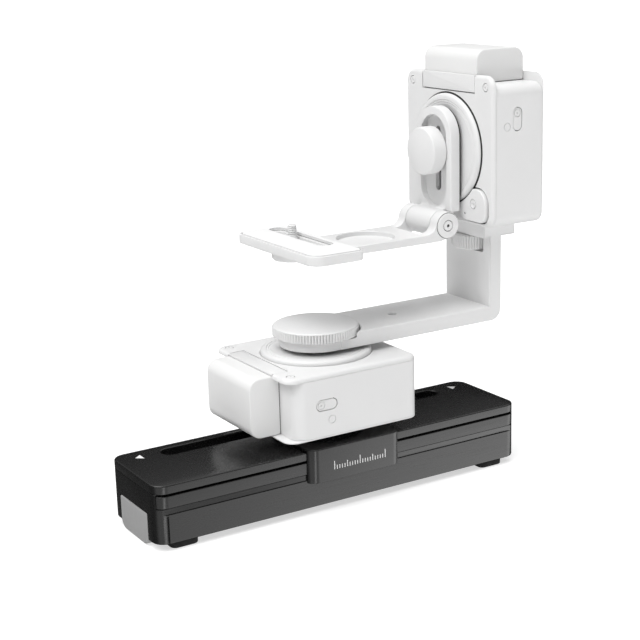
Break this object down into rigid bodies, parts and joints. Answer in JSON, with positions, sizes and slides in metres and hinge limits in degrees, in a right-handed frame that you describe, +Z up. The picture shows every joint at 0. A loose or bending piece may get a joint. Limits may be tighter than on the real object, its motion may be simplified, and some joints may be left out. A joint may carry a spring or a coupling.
{
  "type": "camera slider",
  "caption": "Motorised camera slider with a screw-driven carriage, a pan head, an L-bracket, a tilt head and a folding camera plate.",
  "frame": {"origin": "middle of the footprint of the whole outline, on the table under the feet", "axes": "+X along the slider towards the tilt head, -Y is the slider's front, +Z up"},
  "size_m": [0.2854, 0.1118, 0.2788],
  "materials": {
    "black_anodised": "black anodised, satin",
    "black_rubber": "matte",
    "grey_plastic": "fine texture",
    "white_shell": "white, satin paint",
    "white_plastic": "white, fine texture",
    "white_metal": "white powder coat",
    "steel": "turned",
    "brass": "machined",
    "green_board": "solder mask",
    "white_rubber": "matte, fine ribs"
  },
  "bodies": {
    "base": {"base_housing": "black_anodised", "top_plate": "black_anodised", "guide_rail_front": "black_anodised", "guide_rail_rear": "black_anodised", "rubber_foot_1": "black_rubber", "rubber_foot_2": "black_rubber", "rubber_foot_3": "black_rubber", "rubber_foot_4": "black_rubber", "base_control_board": "green_board", "leadscrew_bearing_left": "grey_plastic", "leadscrew_bearing_right": "grey_plastic", "drive_motor": "steel"},
    "base_pack": {"base_battery": "grey_plastic"},
    "leadscrew_shaft": {"leadscrew": "steel", "leadscrew_gear": "brass"},
    "motor_shaft": {"motor_gear": "brass"},
    "carriage_unit": {"carriage": "black_anodised", "carriage_runner": "grey_plastic", "leadscrew_nut": "brass", "head_adapter": "black_anodised", "pan_body": "white_shell", "pan_lid": "white_shell", "pan_battery_door": "white_shell", "pan_rear_cover": "white_shell", "pan_lid_screw_1": "white_metal", "pan_lid_screw_2": "white_metal", "pan_control_board": "green_board", "pan_motor": "steel", "pan_bearing": "steel"},
    "pan_pack": {"pan_battery": "white_plastic"},
    "pan_key_a": {"pan_button_a": "white_plastic"},
    "pan_key_b": {"pan_button_b": "white_plastic"},
    "pan_worm_shaft": {"pan_worm": "steel"},
    "pan_rotor": {"pan_turntable": "white_metal", "pan_worm_wheel": "brass", "l_bracket": "white_metal", "tilt_body": "white_shell", "tilt_lid": "white_shell", "tilt_battery_door": "white_shell", "tilt_rear_cover": "white_shell", "tilt_lid_screw_1": "white_metal", "tilt_lid_screw_2": "white_metal", "tilt_control_board": "green_board", "tilt_motor": "steel", "tilt_bearing": "steel"},
    "pan_clamp": {"pan_knob": "white_metal"},
    "thumb_clamp": {"thumb_wheel": "white_metal"},
    "tilt_pack": {"tilt_battery": "white_plastic"},
    "tilt_key_a": {"tilt_button_a": "white_plastic"},
    "tilt_key_b": {"tilt_button_b": "white_plastic"},
    "tilt_worm_shaft": {"tilt_worm": "steel"},
    "tilt_rotor": {"tilt_turntable": "white_metal", "tilt_worm_wheel": "brass"},
    "arm": {"camera_arm": "white_metal"},
    "arm_clamp": {"arm_knob": "white_metal"},
    "plate": {"camera_plate": "white_metal", "camera_pad": "white_rubber", "hinge_pin": "white_metal"},
    "screw": {"camera_screw": "white_metal"}
  },
  "joints": [
    {"name": "carriage_slide", "type": "slide", "parent": "base", "child": "carriage_unit", "axis": [1, 0, 0], "range_m": [-0.095, 0.088]},
    {"name": "leadscrew_spin", "type": "hinge", "parent": "base", "child": "leadscrew_shaft", "pos_m": [-0.0073, 0.0029, 0.028], "axis": [1, 0, 0], "continuous": true},
    {"name": "motor_spin", "type": "hinge", "parent": "base", "child": "motor_shaft", "pos_m": [-0.0073, -0.0108, 0.0215], "axis": [1, 0, 0], "continuous": true},
    {"name": "base_battery_slide", "type": "slide", "parent": "base", "child": "base_pack", "axis": [-1, 0, 0], "range_m": [0, 0.06]},
    {"name": "pan_turn", "type": "hinge", "parent": "carriage_unit", "child": "pan_rotor", "pos_m": [-0.005, -0.0084, 0.0925], "axis": [0, 0, 1], "continuous": true},
    {"name": "pan_worm_spin", "type": "hinge", "parent": "carriage_unit", "child": "pan_worm_shaft", "pos_m": [-0.005, 0.0181, 0.0805], "axis": [1, 0, 0], "continuous": true},
    {"name": "pan_battery_slide", "type": "slide", "parent": "carriage_unit", "child": "pan_pack", "axis": [-1, 0, 0], "range_m": [0, 0.03]},
    {"name": "pan_button_a_press", "type": "slide", "parent": "carriage_unit", "child": "pan_key_a", "axis": [0, 1, 0], "range_m": [0, 0.0007], "stiffness_N_per_m": 150},
    {"name": "pan_button_b_press", "type": "slide", "parent": "carriage_unit", "child": "pan_key_b", "axis": [0, -1, 0], "range_m": [0, 0.0007], "stiffness_N_per_m": 150},
    {"name": "pan_knob_spin", "type": "hinge", "parent": "pan_rotor", "child": "pan_clamp", "pos_m": [-0.005, -0.0084, 0.104], "axis": [0, 0, 1], "continuous": true},
    {"name": "thumb_wheel_spin", "type": "hinge", "parent": "pan_rotor", "child": "thumb_clamp", "pos_m": [0.1221, -0.0084, 0.1446], "axis": [0, 0, 1], "continuous": true},
    {"name": "tilt_turn", "type": "hinge", "parent": "pan_rotor", "child": "tilt_rotor", "pos_m": [0.1014, -0.0084, 0.2137], "axis": [1, 0, 0], "continuous": true},
    {"name": "tilt_worm_spin", "type": "hinge", "parent": "pan_rotor", "child": "tilt_worm_shaft", "pos_m": [0.1134, -0.0349, 0.2137], "axis": [0, 0, -1], "continuous": true},
    {"name": "tilt_battery_slide", "type": "slide", "parent": "pan_rotor", "child": "tilt_pack", "axis": [0, 0, 1], "range_m": [0, 0.03]},
    {"name": "tilt_button_a_press", "type": "slide", "parent": "pan_rotor", "child": "tilt_key_a", "axis": [0, -1, 0], "range_m": [0, 0.0007], "stiffness_N_per_m": 150},
    {"name": "tilt_button_b_press", "type": "slide", "parent": "pan_rotor", "child": "tilt_key_b", "axis": [0, 1, 0], "range_m": [0, 0.0007], "stiffness_N_per_m": 150},
    {"name": "camera_arm_slide", "type": "slide", "parent": "tilt_rotor", "child": "arm", "axis": [0, 0, 1], "range_m": [-0.01, 0.018]},
    {"name": "arm_knob_spin", "type": "hinge", "parent": "tilt_rotor", "child": "arm_clamp", "pos_m": [0.0893, -0.0084, 0.2137], "axis": [-1, 0, 0], "continuous": true},
    {"name": "camera_plate_hinge", "type": "hinge", "parent": "arm", "child": "plate", "pos_m": [0.0847, -0.0084, 0.1667], "axis": [0, 1, 0], "range_deg": [-10, 75]},
    {"name": "camera_screw_slide", "type": "slide", "parent": "plate", "child": "screw", "axis": [0, 1, 0], "range_m": [-0.04, 0.019]}
  ],
  "couplings": [
    {"joint": "leadscrew_spin", "follows": "carriage_slide", "rad_per_m": -785.4},
    {"joint": "motor_spin", "follows": "carriage_slide", "rad_per_m": 448.8},
    {"joint": "pan_worm_spin", "follows": "pan_turn", "ratio": 30},
    {"joint": "tilt_worm_spin", "follows": "tilt_turn", "ratio": 30}
  ]
}
